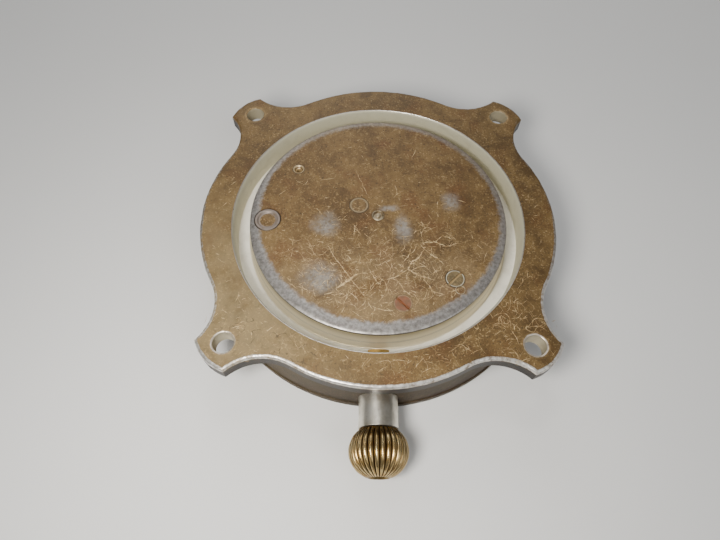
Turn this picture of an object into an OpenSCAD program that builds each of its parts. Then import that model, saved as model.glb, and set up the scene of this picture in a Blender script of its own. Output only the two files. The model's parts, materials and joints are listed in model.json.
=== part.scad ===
// Aneroid altimeter for a panel, modelled with its sealed back upwards.
// Origin: centre of the four panel holes, on the back face of the flange.
// +Z leaves the back of the case, the dial faces -Z, and the setting crown points along -Y.

/* [Mounting flange] */
// Distance between neighbouring panel holes
hole_spacing = 62.9; // [62:0.1:64]
// Diameter of a panel hole
hole_d = 4.3; // [3.4:0.1:4.8]
// Thickness of the flange plate
flange_t = 3.9; // [3.6:0.1:4.2]
// Radius of each of the four side lobes
lobe_r = 36; // [35.8:0.1:36.2]
// Distance of a lobe's centre from the axis
lobe_offset = 4.65; // [4.6:0.01:4.8]
// Distance of a hollow curve's centre from the axis, on either side of an ear
scallop_reach = 51.3; // [51:0.1:51.6]
// Angle between a hollow curve's centre and the nearest lobe
scallop_angle = 27; // [26.6:0.1:27.4]
// Radius of an ear's rounded end
ear_end_r = 10; // [9.9:0.1:10.2]
// Distance from the axis to the tip of an ear
ear_reach = 49.4; // [49:0.1:49.8]

/* [Case] */
// Outer radius of the case below the flange
case_r = 39.6; // [39.4:0.1:39.7]
// Distance from the flange's back face to the front of the bezel
case_depth = 16.7; // [16.7:0.1:17.2]
// Outer radius of the back drum at its rolled edge
drum_r = 29.4; // [29.2:0.1:29.5]
// Width of the drum's rolled edge
edge_w = 2.5; // [2:0.1:3]
// Drop of the drum's rolled edge
edge_h = 0.45; // [0.3:0.05:0.6]
// Radius of the bright groove's outer wall at the flange face
groove_r = 33.35; // [33.2:0.05:33.5]
// Depth of the groove round the drum
groove_depth = 6; // [5.9:0.05:6]

/* [Crown] */
// Largest radius of the ribbed crown
crown_r = 6.1; // [5.8:0.1:6.2]
// Length of the crown along the stem
crown_l = 9.3; // [8.8:0.1:9.6]
// Number of ribs round the crown
crown_ribs = 30; // [24:1:32]
// Outer radius of the pendant tube
pendant_r = 4.1; // [3.8:0.1:4.2]

/* [Movement] */
// Outer radius of the vacuum capsule
capsule_r = 14.5; // [13.5:0.1:14.5]
// Teeth on the ring that turns the dial
dial_teeth = 120; // [120:2:120]
// Leaves on the pinion of the setting stem
stem_leaves = 6; // [6:1:6]
// Leaves on the pinion of the pointer
arbor_leaves = 10; // [10:1:10]
// Length of the pointer from its axis to its tip
pointer_l = 28.5; // [26:0.5:29.5]

/* [Hidden] */
$fn = 96;
gap = 0.05;        // clearance of fits and between assembled faces
past = 1;          // how far a cutter runs past the face it opens

// Flange
ear_at = [ear_reach - ear_end_r, 0]; // centre of an ear's rounded end, seen along the ear
lobe_at = lobe_offset * [cos(45), sin(45)];
scallop_at = scallop_reach * [cos(45 - scallop_angle), sin(45 - scallop_angle)];
scallop_r = norm(scallop_at - lobe_at) - lobe_r; // tangent to the lobe
groove_foot_r = groove_r - 0.35;     // groove wall at the underside of the flange
rim_break = 0.3;                     // worn corner at the top of the groove

// Case
floor_z = -groove_depth;
floor_t = 1.2;
wall_t = 2;
case_in_r = case_r - wall_t;
bezel_z = 2.05 - case_depth;         // joint between the case and the bezel
drum_wall = 1.5;
drum_edge_t = 0.35;                  // upright part of the rolled edge
drum_neck_r = drum_r - 0.4;          // undercut below the rolled edge
drum_neck_z = -edge_h - drum_edge_t - 0.35;
drum_foot_r = drum_r + 1;            // foot of the flared wall, in the groove
drum_foot_t = 0.25;
drum_skirt_r = drum_r - 0.2;
drum_skirt_l = 2.2;
inner_r = case_in_r - gap;
glass_r = case_in_r - 0.7;
glass_z = bezel_z - 0.1;
glass_t = 1.2;

// Things let into the drum's back, each as [x, y]
plug_at = [-25.3, -1.5];
vent_at = [-19.1, 13.4];
rivet_at = [-4.4, 2.8];
fixing_at = [16.4, -16.4];
calibration_at = [5, -22.4];
screw_head_t = 0.9;
slot_w = 0.55;
slot_d = 0.5;
plug_r = 3.1;
plug_t = 0.95;
rivet_r = 2.3;
rivet_t = 0.75;
rivet_shank_r = 1;
vent_r = 1.5;
fixing_r = 2.2;
fixing_shank_r = 1.1;
calibration_r = 2;
calibration_shank_r = 0.8;
stud_r = 1.5;
stud_t = 0.65;
stud_shank_r = 1;

// Dial and its drive
dial_z = -12.3;                      // back of the dial plate
dial_t = 0.6;
dial_r = case_in_r - 2.6;
gear_in_r = 31;
gear_root_r = 31.7;
gear_out_r = 34;
gear_base = 0.15;
gear_tooth_h = 0.45;
gear_slot_w = 1.05;
stem_z = -10.2;                      // height of the stem's axis
stem_r = 1.25;
stem_tip_r = 1.85;
stem_root_r = 1.5;
stem_leaf_w = 0.62;
housing_r = 4.72;
housing_y = -drum_foot_r - 2 * gap;
housing_end_t = 0.6;
pinion_l = 2.2;
pinion_y = -gear_root_r - 0.2 - pinion_l; // its leaves run just outside the ring's rim
housing_foot_z = -11.55;
spigot_r = 2.6;
pendant_y = -46;                     // outer end of the pendant tube
crown_y = pendant_y - 0.1;           // inner end of the crown
crown_bore = stem_r + gap;
crown_fullness = 0.92;               // a lower power makes a squarer outline
crown_dimple = 0.8;                  // depth of the hollow in the crown's end
rib_depth = 0.085;                   // as a share of the crown's radius
cap_y = crown_y - crown_l + crown_dimple + 0.1;
cap_t = 0.6;

// Movement, from the back towards the dial
plate_z = -1.55;
plate_t = 1;
plate_r = 27;
plate_front = plate_z - plate_t;
capsule_z = plate_front - 0.2;
capsule_t = 3.4;
capsule_front = capsule_z - capsule_t;
boss_r = 2.2;
boss_h = 0.45;
post_r = 1.1;
post_z = capsule_front - boss_h - gap;
post_l = 1.95;
spring_z = -7.2;                     // back face of the leaf spring
spring_t = 0.5;
spring_w = 16;
spring_end = -2;
hinge_y = 20;
lever_t = 0.6;
lever_tip = -17.5;
knife_r = 0.3;
rocker_y = -21.5;
rocker_z = -5.2;
rocker_r = 0.5;
rocker_x = [-12.2, 3.4];             // ends of the rocking shaft
bracket_x = [-12.9, 3.1];            // left faces of its brackets
bracket_w = 1;
short_arm_x = 0;
long_arm_x = -10;
arm_rod_r = 0.35;
sector_at = [-14, rocker_y];
sector_z = -10.3;
sector_t = 0.5;
bridge_z = -9.5;                     // back face of the arbor plate
bridge_t = 0.6;
cock_z = -11.55;
cock_t = 0.6;
sector_reach = norm(sector_at);
sector_heading = heading(sector_at, [0, 0]);
arbor_pitch_r = 1.25;
sector_pitch_r = sector_reach - arbor_pitch_r;
sector_step = 360 / arbor_leaves * arbor_pitch_r / sector_pitch_r;
tooth_rise = 0.2;
tooth_drop = 0.32;
tooth_w = 0.28;                      // tooth thickness at the pitch line
arbor_r = 0.4;
sector_arbor_r = 0.5;
sector_hub_r = 1.8;
foot_out = 3.2;                      // cock foot beyond the sector's arbor
foot_in = 12;                        // cock foot beyond the pointer's arbor
foot_r = 1.2;
cock_w = 3.2;
cock_screw_r = 0.9;                  // head of a cock screw
cock_shank_r = 0.4;
clamp_screw_r = 0.75;
clamp_hole_r = clamp_screw_r + gap;
pillar_r = 1.4;
pillar_tenon_r = 0.75;
pillars = [[-10.4, -15.97], [12, 18], [17.5, -6]];
hairspring_z = -11;
hairspring_h = 0.3;
hairspring_turns = 4;
hairspring_r = [1.15, 4.3];
pointer_z = -13.4;
pointer_t = 0.3;

// Radial points of an arc, in degrees
function arc(centre, r, from, to, steps) =
    [for (i = [0 : steps]) let (a = from + (to - from) * i / steps)
        centre + r * [cos(a), sin(a)]];

// A turned part, from points [radius, height]
module turned(points) {
    rotate_extrude() polygon(points);
}

// A ring standing down from a height
module ring_down(outer, inner, top, depth) {
    turned([[inner, top], [outer, top], [outer, top - depth], [inner, top - depth]]);
}

// A plain rod or hole hanging down from a height
module rod_down(r, top, depth) {
    translate([0, 0, top - depth]) cylinder(r = r, h = depth);
}

// A rod along -Y, starting at y
module rod_out(r, y, length) {
    translate([0, y, stem_z]) rotate([90, 0, 0]) cylinder(r = r, h = length);
}

// A flush slotted screw with its head upwards
module flush_screw(head_r, shank_r, shank_l, slot_angle) {
    difference() {
        union() {
            rod_down(head_r - gap, 0, screw_head_t);
            rod_down(shank_r, -screw_head_t, shank_l);
        }
        rotate(slot_angle) translate([-head_r - past, -slot_w / 2, -slot_d])
            cube([2 * (head_r + past), slot_w, slot_d + past]);
    }
}

// ---- Case ----

function heading(from, to) = atan2(to[1] - from[1], to[0] - from[0]);

// An arc without its last point, so that it runs on into the next one
function open_arc(centre, r, from, to, steps) =
    [for (i = [0 : steps - 1]) let (a = from + (to - from) * i / steps)
        centre + r * [cos(a), sin(a)]];

// A quarter of the outline: hollow, ear, hollow, lobe. The ear lies along +X.
function quarter() =
    let (
        span = norm(scallop_at - ear_at),
        spread = acos((span ^ 2 + scallop_r ^ 2 - ear_end_r ^ 2) / (2 * span * scallop_r)),
        at_lobe = heading(scallop_at, lobe_at),
        at_ear = heading(scallop_at, ear_at) + spread,
        corner = scallop_at + scallop_r * [cos(at_ear), sin(at_ear)],
        ear_half = heading(ear_at, corner),
        lobe_from = heading(lobe_at, scallop_at),
        below = [scallop_at[0], -scallop_at[1]]
    )
    concat(open_arc(below, scallop_r, -at_lobe, -at_ear, 12),
           open_arc(ear_at, ear_end_r, -ear_half, ear_half, 16),
           open_arc(scallop_at, scallop_r, at_ear, at_lobe, 12),
           open_arc(lobe_at, lobe_r, lobe_from, 90 - lobe_from, 20));

function flange_outline() =
    [for (turn = [45 : 90 : 315], p = quarter())
        [p[0] * cos(turn) - p[1] * sin(turn), p[0] * sin(turn) + p[1] * cos(turn)]];

module mounting_flange() {
    color([0.50, 0.41, 0.27]) difference() {
        translate([0, 0, -flange_t]) linear_extrude(flange_t) polygon(flange_outline());
        for (x = [-1, 1], y = [-1, 1])
            translate([x, y, 0] * hole_spacing / 2) rod_down(hole_d / 2, past, flange_t + 2 * past);
        turned([[0, -flange_t - past], [groove_foot_r, -flange_t - past], [groove_foot_r, -flange_t],
                [groove_r - rim_break, -rim_break * 2], [groove_r, 0], [groove_r, past], [0, past]]);
    }
}

module case_body() {
    color([0.45, 0.36, 0.24]) difference() {
        turned([[groove_foot_r, -flange_t], [case_r, -flange_t], [case_r, bezel_z],
                [case_in_r, bezel_z], [case_in_r, floor_z - floor_t],
                [drum_skirt_r + gap, floor_z - floor_t], [drum_skirt_r + gap, floor_z],
                [groove_foot_r - 0.1, floor_z]]);
        rod_out(housing_r + gap, housing_y + gap, case_in_r + housing_y);
        rod_out(spigot_r + gap, -case_in_r + past, wall_t + 2 * past);
    }
}

module case_back() {
    rolled = [for (a = [0 : 10 : 90]) [drum_r - edge_w * (1 - sin(a)), -edge_h * (1 - cos(a))]];
    inner = drum_r - drum_wall;
    color([0.52, 0.42, 0.28]) difference() {
        turned(concat([[0, 0]], rolled, [
            [drum_r, -edge_h - drum_edge_t], [drum_neck_r, drum_neck_z],
            [drum_foot_r - 0.2, floor_z + drum_foot_t], [drum_foot_r, floor_z + drum_foot_t],
            [drum_foot_r, floor_z], [drum_skirt_r, floor_z], [drum_skirt_r, floor_z - drum_skirt_l],
            [inner, floor_z - drum_skirt_l], [inner, -drum_wall], [0, -drum_wall]]));
        translate(plug_at) rod_down(plug_r, past, past + plug_t + gap);
        translate(rivet_at) rod_down(rivet_r, past, past + rivet_t + gap);
        translate(fixing_at) rod_down(fixing_r, past, past + screw_head_t);
        translate(calibration_at) rod_down(calibration_r, past, past + screw_head_t);
        rod_down(stud_r, past, past + stud_t + gap);
        shank_holes();
    }
}

// The holes that the screws, the rivet, the vent and the stud share in the back and the base plate
module shank_holes() {
    depth = past - plate_z + plate_t + past;
    translate(rivet_at) rod_down(rivet_shank_r, past, depth);
    translate(vent_at) rod_down(vent_r, past, depth);
    translate(fixing_at) rod_down(fixing_shank_r + gap, past, depth);
    translate(calibration_at) rod_down(calibration_shank_r + gap, past, depth);
    rod_down(stud_shank_r, past, depth);
}

module bezel() {
    lip_z = glass_z - glass_t;
    outer = case_r + 0.3;
    color([0.48, 0.38, 0.25])
        turned([[glass_r - 1.3, lip_z], [glass_r - 0.5, -case_depth], [outer - 0.4, -case_depth],
                [outer, 0.4 - case_depth], [outer, bezel_z - gap], [inner_r, bezel_z - gap],
                [inner_r, bezel_z + 0.85], [glass_r + gap, bezel_z + 0.85], [glass_r + gap, lip_z]]);
}

module crystal() {
    front = glass_z - glass_t;
    color([0.8, 0.88, 0.9, 0.35])
        turned([[0, glass_z], [glass_r, glass_z], [glass_r, front + 0.02], [glass_r - 0.1, front],
                [0, front]]);
}

module crystal_gasket() {
    color([0.15, 0.13, 0.12]) ring_down(glass_r - gap, glass_r - 1.2, glass_z + 0.45, 0.45);
}

module index_ring() {
    top = dial_z - dial_t - 0.1;
    color([0.12, 0.12, 0.12])
        turned([[gear_out_r + 0.2, top], [inner_r - gap, top], [inner_r - gap, top - 0.65],
                [glass_r - gap, top - 0.65], [glass_r - gap, glass_z + 0.5],
                [glass_r - 1, glass_z + 0.5], [gear_out_r + 0.2, top - 0.3]]);
}

module dial_seat() {
    lip = dial_z + gap;
    color([0.72, 0.6, 0.32])
        turned([[gear_out_r + 0.35, lip + 0.65], [inner_r, lip + 0.65],
                [inner_r, dial_z - dial_t - gap], [dial_r + 0.1, dial_z - dial_t - gap],
                [dial_r + 0.1, lip], [gear_out_r + 0.35, lip]]);
}

module stem_housing() {
    color([0.75, 0.62, 0.34]) difference() {
        intersection() {
            rod_out(housing_r, housing_y, inner_r + housing_y);
            rod_down(inner_r, 0, -housing_foot_z);
        }
        rod_out(stem_r + gap, housing_y - housing_end_t, 10);
        rod_out(stem_tip_r + 0.3, pinion_y + pinion_l + 0.2, pinion_l + 0.4);
    }
}

module pendant_tube() {
    color([0.78, 0.77, 0.72]) difference() {
        union() {
            difference() {
                rod_out(pendant_r, -case_in_r, -case_in_r - pendant_y);
                rod_down(case_r + gap, 0, case_depth);
            }
            rod_out(spigot_r, -case_in_r - gap, wall_t + 1);
        }
        rod_out(stem_r + gap, past - case_in_r, 12);
    }
}

// ---- Things let into the back ----

module vent_bush() {
    color([0.6, 0.56, 0.45]) translate(vent_at) difference() {
        rod_down(vent_r - gap, 0, 2.4);
        turned([[0, past], [vent_r - 0.2, past], [vent_r - 0.3, 0], [0.5, -0.6], [0.5, -3], [0, -3]]);
    }
}

module access_plug() {
    color([0.52, 0.47, 0.37]) translate(plug_at)
        turned([[0, -0.06], [plug_r - 0.5, -0.06], [plug_r - 0.4, 0], [plug_r - gap, 0],
                [plug_r - gap, -plug_t], [0, -plug_t]]);
}

module locating_rivet() {
    color([0.5, 0.43, 0.3]) translate(rivet_at) {
        rod_down(rivet_r - gap, 0, rivet_t);
        rod_down(rivet_shank_r - gap, -rivet_t / 2, 2.2);
    }
}

module fixing_screw() {
    color([0.5, 0.5, 0.47]) translate(fixing_at) flush_screw(fixing_r, fixing_shank_r, 1.6, 45);
}

module calibration_screw() {
    color([0.72, 0.42, 0.33]) translate(calibration_at)
        flush_screw(calibration_r, calibration_shank_r, 1.6, -45);
}

module capsule_stud() {
    head = stud_r - gap;
    shank = stud_shank_r - gap;
    color([0.7, 0.68, 0.6])
        turned([[0, 0], [0.6, 0], [0.75, -0.12], [0.95, -0.12], [1.1, 0], [head, 0],
                [head, -stud_t], [shank, -stud_t], [shank, capsule_z], [0, capsule_z]]);
}

// ---- Movement ----

module base_plate() {
    color([0.76, 0.64, 0.36]) difference() {
        rod_down(plate_r, plate_z, plate_t);
        shank_holes();
    }
}

// Half a capsule: a corrugated disc in four rings, standing down from its flat rim
module capsule_shell(rim_z, face_z, inner_boss) {
    rings = 4;
    pitch = (capsule_r - 1.2 - inner_boss) / rings;
    skin = 0.35;
    dip = 0.3 * sign(rim_z - face_z);
    wave = [for (i = [0 : 2 * rings]) [inner_boss + i * pitch / 2, face_z + (i % 2) * dip]];
    under = sign(rim_z - face_z) * skin;
    inside = [for (i = [2 * rings : -1 : 0]) [wave[i][0], wave[i][1] + under]];
    turned(concat([[0, face_z]], wave, [[capsule_r - 0.9, rim_z - under], [capsule_r, rim_z - under],
        [capsule_r, rim_z], [capsule_r - 1.2, rim_z]], inside, [[0, face_z + under]]));
}

module capsule_back_shell() {
    middle = capsule_z - capsule_t / 2;
    color([0.8, 0.7, 0.42]) capsule_shell(middle + 0.02, capsule_z, 3);
}

module capsule_front_shell() {
    middle = capsule_z - capsule_t / 2;
    color([0.82, 0.72, 0.44]) {
        capsule_shell(middle - 0.02, capsule_front, 3);
        rod_down(boss_r, capsule_front, boss_h);
    }
}

module spring_stand() {
    depth = plate_front - spring_z - gap;
    color([0.7, 0.58, 0.32]) difference() {
        translate([-spring_w / 2, hinge_y - 1.7, spring_z + gap]) cube([spring_w, 3.4, depth]);
        clamp_positions() rod_down(clamp_hole_r, 0, case_depth);
    }
}

module clamp_positions() {
    for (x = [-5, 5]) translate([x, hinge_y, 0]) children();
}

module spring_clamp() {
    top = spring_z - spring_t - gap;
    color([0.74, 0.62, 0.35]) difference() {
        translate([-spring_w / 2, hinge_y - 1.5, top - 0.6]) cube([spring_w, 3, 0.6]);
        clamp_positions() rod_down(clamp_hole_r, 0, case_depth);
    }
}

module clamp_screws() {
    head_z = spring_z - spring_t - gap - 0.6;
    color([0.45, 0.45, 0.48]) clamp_positions() difference() {
        union() {
            rod_down(clamp_screw_r, plate_front - 1, plate_front - 1 - head_z);
            rod_down(1.2, head_z, 0.6);
        }
        translate([-2, -0.2, head_z - 0.6 - past]) cube([4, 0.4, past + 0.3]);
    }
}

module rocker_brackets() {
    color([0.72, 0.6, 0.33])
        for (x = bracket_x) difference() {
            translate([x, rocker_y - 1.4, rocker_z - 1.2])
                cube([bracket_w, 2.8, plate_front - rocker_z + 1.2]);
            translate([x - past, rocker_y, rocker_z]) rotate([0, 90, 0])
                cylinder(r = rocker_r + gap, h = bracket_w + 2 * past);
        }
}

module movement_pillars() {
    color([0.78, 0.66, 0.38])
        for (at = pillars) translate(at) {
            rod_down(pillar_r, plate_front, plate_front - bridge_z - gap);
            rod_down(pillar_tenon_r, plate_front, plate_front - bridge_z + bridge_t);
        }
}

// A flat bar with round ends, from one point to another
module bar(from, to, width, top, thick) {
    a = heading(from, to);
    translate([0, 0, top - thick]) linear_extrude(height = thick)
        polygon(concat(arc(from, width / 2, a + 90, a + 270, 12), arc(to, width / 2, a - 90, a + 90, 12)));
}

function along(distance) = -distance * [cos(sector_heading), sin(sector_heading)];

module arbor_plate() {
    color([0.76, 0.65, 0.38]) difference() {
        union() {
            bar(along(sector_reach + foot_out), along(-foot_in), 5, bridge_z, bridge_t);
            bar([0, 0], pillars[1], 4.4, bridge_z, bridge_t);
            bar([0, 0], pillars[2], 4.4, bridge_z, bridge_t);
        }
        rod_down(arbor_r + gap, 0, case_depth);
        translate(sector_at) rod_down(sector_arbor_r + gap, 0, case_depth);
        for (at = pillars) translate(at) rod_down(pillar_tenon_r + gap, 0, case_depth);
        cock_foot_positions() rod_down(cock_shank_r + gap, 0, case_depth);
    }
}

module cock_foot_positions() {
    for (d = [sector_reach + foot_out, -foot_in]) translate(along(d)) children();
}

module upper_cock() {
    foot_h = bridge_z - bridge_t - cock_z - gap;
    color([0.78, 0.67, 0.4]) difference() {
        union() {
            bar(along(sector_reach + foot_out), along(-foot_in), cock_w, cock_z, cock_t);
            cock_foot_positions() rod_down(foot_r, cock_z + foot_h, foot_h);
        }
        rod_down(arbor_r + gap, 0, case_depth);
        translate(sector_at) rod_down(sector_arbor_r + gap, 0, case_depth);
        cock_foot_positions() {
            rod_down(cock_shank_r + gap, 0, case_depth);
            rod_down(cock_screw_r + gap, cock_z - cock_t / 2, cock_t);
        }
    }
}

module cock_screws() {
    color([0.4, 0.42, 0.48]) cock_foot_positions() difference() {
        union() {
            rod_down(cock_screw_r, cock_z - cock_t / 2, cock_t / 2);
            rod_down(cock_shank_r, bridge_z - 0.1, bridge_z - cock_z + 0.2);
        }
        translate([-2, -0.15, cock_z - cock_t - past]) cube([4, 0.3, past + 0.12]);
    }
}

module hairspring() {
    steps = hairspring_turns * 24;
    thick = 0.12;
    spiral = [for (side = [0, 1], i = [0 : steps])
        let (t = (side == 0 ? i : steps - i) / steps, a = 360 * hairspring_turns * t)
        (hairspring_r[0] + (hairspring_r[1] - hairspring_r[0]) * t + side * thick)
            * [cos(a), sin(a)]];
    color([0.3, 0.36, 0.55]) translate([0, 0, hairspring_z - hairspring_h])
        linear_extrude(height = hairspring_h) polygon(spiral);
}

module hairspring_stud() {
    color([0.6, 0.6, 0.62]) translate([hairspring_r[1] + 0.17, -0.5, cock_z])
        cube([0.7, 1, hairspring_z - cock_z]);
    color([0.6, 0.6, 0.62]) translate([1.2, -0.5, cock_z])
        cube([hairspring_r[1] - 0.8, 1, 0.2]);
}

// ---- Moving parts of the movement ----

module capsule_post() {
    color([0.7, 0.7, 0.72]) difference() {
        rod_down(post_r, post_z, post_l);
        knife(knife_r + 0.02);
    }
}

module knife(r) {
    translate([-2.5, 0, spring_z - spring_t - 0.05 - knife_r]) rotate([0, 90, 0])
        cylinder(r = r, h = 5);
}

module knife_pin() {
    color([0.5, 0.5, 0.55]) knife(knife_r);
}

module main_spring() {
    length = hinge_y + 1.5 - spring_end;
    color([0.42, 0.45, 0.52]) difference() {
        translate([-spring_w / 2, spring_end, spring_z - spring_t]) cube([spring_w, length, spring_t]);
        rod_down(post_r + 0.4, 0, case_depth);
        clamp_positions() rod_down(1, 0, case_depth);
    }
}

module lever_arm() {
    top = spring_z - spring_t;
    half = 3;
    color([0.62, 0.62, 0.64]) translate([0, 0, top - lever_t])
        linear_extrude(height = lever_t)
            polygon([[-half, spring_end + 0.4], [half, spring_end + 0.4], [half, spring_end - 1.5],
                     [1, spring_end - 5], [1, lever_tip - 1], [-1, lever_tip - 1],
                     [-1, spring_end - 5], [-half, spring_end - 1.5]]);
}

module lever_link() {
    top = spring_z - spring_t;
    color([0.55, 0.55, 0.58]) translate([short_arm_x, lever_tip, 0]) {
        rod_down(arm_rod_r, rocker_z + 0.4, rocker_z + 0.4 - top);
        rod_down(0.9, rocker_z + 0.7, 0.4);
    }
}

module rocking_shaft() {
    middle = (rocker_x[0] + rocker_x[1]) / 2;
    color([0.6, 0.6, 0.63]) on_shaft(middle, rocker_r, rocker_x[1] - rocker_x[0] + 1);
}

// A rod lying on the rocking shaft's axis, centred on x
module on_shaft(x, r, length) {
    translate([x - length / 2, rocker_y, rocker_z]) rotate([0, 90, 0]) cylinder(r = r, h = length);
}

module short_arm() {
    reach = lever_tip - rocker_y;
    color([0.66, 0.64, 0.58]) difference() {
        union() {
            translate([short_arm_x - 0.8, rocker_y, rocker_z - 0.2]) cube([1.6, reach + 1, 0.4]);
            on_shaft(short_arm_x, 1, 1.6);
        }
        on_shaft(short_arm_x, rocker_r + 0.01, 4);
        translate([short_arm_x, lever_tip, 0]) rod_down(arm_rod_r + 0.3, 0, 8);
    }
}

module long_arm() {
    foot = sector_z - sector_t - 0.1;
    color([0.66, 0.64, 0.58]) difference() {
        union() {
            on_shaft(long_arm_x, 1, 1.2);
            translate([long_arm_x, rocker_y, 0]) rod_down(arm_rod_r, rocker_z, rocker_z - foot);
        }
        on_shaft(long_arm_x, rocker_r + 0.01, 4);
    }
}

module sector_arbor() {
    color([0.62, 0.62, 0.65]) translate(sector_at)
        rod_down(sector_arbor_r, bridge_z - 0.1, bridge_z - cock_z + cock_t - 0.2);
}

// One gear tooth pointing along +X, as a 2D outline about the gear's axis
module tooth(pitch_r, root_r, tip_r) {
    polygon([[root_r - 0.1, -tooth_w * 0.85], [pitch_r, -tooth_w / 2], [tip_r, -tooth_w * 0.3],
             [tip_r, tooth_w * 0.3], [pitch_r, tooth_w / 2], [root_r - 0.1, tooth_w * 0.85]]);
}

module toothed_sector() {
    root = sector_pitch_r - tooth_drop;
    first = -2;
    last = 9;
    from = (first - 1) * sector_step;
    to = (last + 1) * sector_step;
    rim = concat(arc([0, 0], root, from, to, 24), arc([0, 0], root - 1.5, to, from, 24));
    color([0.8, 0.7, 0.42]) translate([sector_at[0], sector_at[1], sector_z - sector_t])
        linear_extrude(height = sector_t) difference() {
            union() {
                rotate(sector_heading) {
                    polygon(rim);
                    for (i = [first : last]) rotate(i * sector_step)
                        tooth(sector_pitch_r, root, sector_pitch_r + tooth_rise);
                    rotate((from + to) / 2)
                        polygon([[0, -1.6], [root - 1, -0.9], [root - 1, 0.9], [0, 1.6]]);
                }
                circle(r = sector_hub_r);
                polygon([[0, -1.6], [5.6, -1.3], [5.6, 1.3], [0, 1.6]]);
            }
            circle(r = sector_arbor_r + 0.01);
            translate([3, -0.55]) square([5, 1.1]);
        }
}

module pointer_arbor() {
    top = bridge_z - 0.1;
    color([0.66, 0.66, 0.7]) rod_down(arbor_r, top, top - pointer_z + 0.8);
}

module arbor_pinion() {
    root = arbor_pitch_r - tooth_drop;
    color([0.7, 0.7, 0.72]) translate([0, 0, sector_z - sector_t]) linear_extrude(height = sector_t)
        difference() {
            union() {
                circle(r = root);
                for (i = [0 : arbor_leaves - 1])
                    rotate(sector_heading + 180 + (i + 0.5) * 360 / arbor_leaves)
                        tooth(arbor_pitch_r, root, arbor_pitch_r + tooth_rise);
            }
            circle(r = arbor_r + 0.01);
        }
}

module hairspring_collet() {
    color([0.74, 0.62, 0.35]) ring_down(1, arbor_r + 0.01, hairspring_z, hairspring_h);
}

module pointer() {
    color([0.15, 0.2, 0.4]) translate([0, 0, pointer_z - pointer_t]) linear_extrude(height = pointer_t)
        difference() {
            union() {
                circle(r = 2);
                polygon([[0.9, 0], [0.45, pointer_l - 6], [1.1, pointer_l - 5], [0, pointer_l],
                         [-1.1, pointer_l - 5], [-0.45, pointer_l - 6], [-0.9, 0]]);
                polygon([[-0.8, 0], [-0.6, -8], [0.6, -8], [0.8, 0]]);
                translate([0, -8]) circle(r = 1.7);
            }
            circle(r = 0.8);
        }
}

module pointer_boss() {
    color([0.75, 0.65, 0.4])
        turned([[arbor_r + 0.01, pointer_z + 0.25], [0.79, pointer_z + 0.25], [0.79, pointer_z - 0.3],
                [1.3, pointer_z - 0.3], [1.3, pointer_z - 0.5], [0.9, pointer_z - 0.7],
                [arbor_r + 0.01, pointer_z - 0.7]]);
}

// ---- Dial and setting gear ----

module dial_plate() {
    color([0.9, 0.88, 0.82]) ring_down(dial_r, 2.5, dial_z, dial_t);
}

module dial_gear() {
    slot_side = gear_slot_w / 2;
    rim = [for (i = [0 : dial_teeth - 1], corner = [[gear_out_r, -1], [gear_root_r, -1],
                                                    [gear_root_r, 1], [gear_out_r, 1]])
        let (a = 90 + i * 360 / dial_teeth + corner[1] * asin(slot_side / corner[0]))
        corner[0] * [cos(a), sin(a)]];
    color([0.76, 0.65, 0.36]) {
        ring_down(gear_out_r + 0.1, gear_in_r, dial_z + gear_base, gear_base);
        translate([0, 0, dial_z + gear_base]) linear_extrude(height = gear_tooth_h) difference() {
            polygon(rim);
            circle(r = gear_in_r + 0.1);
        }
    }
}

// One rib of the crown stands out where the cosine of the angle along it is largest
function rib(a) = 1 - rib_depth * (1 - pow(abs(cos(a * crown_ribs / 2)), 0.8));

module crown() {
    rings = 15;
    steps = crown_ribs * 6;
    neck = 36;                       // angle of the outline at the pendant's end
    pole = 161;                      // and at the crown's far end
    stretch = crown_l / (cos(neck) - cos(pole));
    outline = [for (i = [0 : rings]) let (u = neck + (pole - neck) * i / rings)
        [crown_r * pow(sin(u), crown_fullness), stretch * cos(u)]];
    lift = crown_y - stretch * cos(neck);
    bore = [[crown_bore, stretch * cos(pole) + crown_dimple], [crown_bore, stretch * cos(neck)]];
    loop = concat(outline, bore);
    count = len(loop);
    points = [for (s = [0 : steps - 1], p = loop)
        let (a = 360 * s / steps, r = p[0] * (p[0] > crown_bore ? rib(a) : 1))
        [r * cos(a), p[1] + lift, r * sin(a) + stem_z]];
    faces = [for (s = [0 : steps - 1], k = [0 : count - 1])
        let (s2 = (s + 1) % steps, k2 = (k + 1) % count)
        [s * count + k, s * count + k2, s2 * count + k2, s2 * count + k]];
    color([0.68, 0.58, 0.36]) polyhedron(points, faces);
}

module crown_cap() {
    color([0.6, 0.5, 0.3]) rod_out(crown_bore - 0.02, cap_y + cap_t, cap_t);
}

module setting_stem() {
    start = housing_y - housing_end_t - 0.1;
    color([0.65, 0.65, 0.67]) rod_out(stem_r, start, start - cap_y - cap_t - gap);
}

module stem_pinion() {
    color([0.7, 0.66, 0.5]) translate([0, pinion_y, stem_z]) rotate([-90, 0, 0])
        linear_extrude(height = pinion_l) difference() {
            union() {
                circle(r = stem_root_r);
                for (i = [0 : stem_leaves - 1]) rotate(90 + i * 360 / stem_leaves)
                    translate([0, -stem_leaf_w / 2]) square([stem_tip_r, stem_leaf_w]);
            }
            circle(r = stem_r + 0.01);
        }
}

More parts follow.
